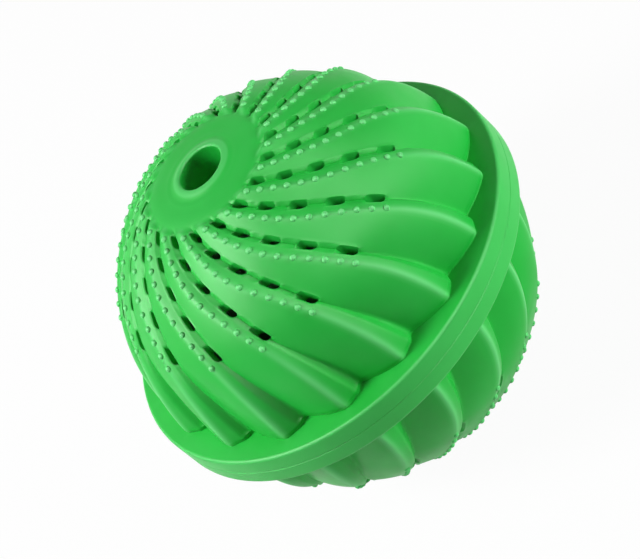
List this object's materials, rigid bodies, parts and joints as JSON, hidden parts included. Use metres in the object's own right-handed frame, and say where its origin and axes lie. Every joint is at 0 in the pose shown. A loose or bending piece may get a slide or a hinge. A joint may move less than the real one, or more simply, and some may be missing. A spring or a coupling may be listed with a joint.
{
  "type": "laundry ball",
  "caption": "Perforated ball of two swirl-ridged half shells that screw together round a through tube and a cross divider, with loose ceramic beads in its chambers.",
  "frame": {"origin": "centre of the ball, on its polar axis, 0.95 mm below the parting plane of the band", "axes": "+Z along the polar axis, towards the half that unscrews; +X and +Y in the plane of the band, along the divider's fins"},
  "size_m": [0.1, 0.1, 0.09],
  "materials": {
    "green_shell": "satin",
    "inner_plastic": "satin",
    "ivory_ceramic": "matte",
    "grey_ceramic": "matte",
    "pink_ceramic": "matte",
    "tan_ceramic": "matte"
  },
  "bodies": {
    "lower_half": {"lower_shell": "green_shell", "chamber_divider": "inner_plastic"},
    "core": {"core_tube": "inner_plastic"},
    "upper_half": {"upper_shell": "green_shell"},
    "ivory_charge": {"ivory_bead_1": "ivory_ceramic", "ivory_bead_2": "ivory_ceramic", "ivory_bead_3": "ivory_ceramic", "ivory_bead_4": "ivory_ceramic", "ivory_bead_5": "ivory_ceramic", "ivory_bead_6": "ivory_ceramic", "ivory_bead_7": "ivory_ceramic", "ivory_bead_8": "ivory_ceramic", "ivory_bead_9": "ivory_ceramic"},
    "grey_charge": {"grey_bead_1": "grey_ceramic", "grey_bead_2": "grey_ceramic", "grey_bead_3": "grey_ceramic", "grey_bead_4": "grey_ceramic", "grey_bead_5": "grey_ceramic", "grey_bead_6": "grey_ceramic", "grey_bead_7": "grey_ceramic", "grey_bead_8": "grey_ceramic", "grey_bead_9": "grey_ceramic"},
    "pink_charge": {"pink_bead_1": "pink_ceramic", "pink_bead_2": "pink_ceramic", "pink_bead_3": "pink_ceramic", "pink_bead_4": "pink_ceramic", "pink_bead_5": "pink_ceramic", "pink_bead_6": "pink_ceramic", "pink_bead_7": "pink_ceramic", "pink_bead_8": "pink_ceramic", "pink_bead_9": "pink_ceramic"},
    "tan_charge": {"tan_bead_1": "tan_ceramic", "tan_bead_2": "tan_ceramic", "tan_bead_3": "tan_ceramic", "tan_bead_4": "tan_ceramic", "tan_bead_5": "tan_ceramic", "tan_bead_6": "tan_ceramic", "tan_bead_7": "tan_ceramic", "tan_bead_8": "tan_ceramic", "tan_bead_9": "tan_ceramic"}
  },
  "joints": [
    {"name": "half_twist", "type": "hinge", "parent": "lower_half", "child": "core", "pos_m": [0, 0, 0], "axis": [0, 0, 1], "range_deg": [0, 90]},
    {"name": "half_lift", "type": "slide", "parent": "core", "child": "upper_half", "axis": [0, 0, 1], "range_m": [0, 0.009]},
    {"name": "ivory_hop", "type": "slide", "parent": "lower_half", "child": "ivory_charge", "axis": [0, 0, 1], "range_m": [0, 0.006]},
    {"name": "grey_hop", "type": "slide", "parent": "lower_half", "child": "grey_charge", "axis": [0, 0, 1], "range_m": [0, 0.006]},
    {"name": "pink_hop", "type": "slide", "parent": "lower_half", "child": "pink_charge", "axis": [0, 0, 1], "range_m": [0, 0.006]},
    {"name": "tan_hop", "type": "slide", "parent": "lower_half", "child": "tan_charge", "axis": [0, 0, 1], "range_m": [0, 0.006]}
  ],
  "couplings": [
    {"joint": "half_lift", "follows": "half_twist", "m_per_rad": 0.0057295}
  ]
}
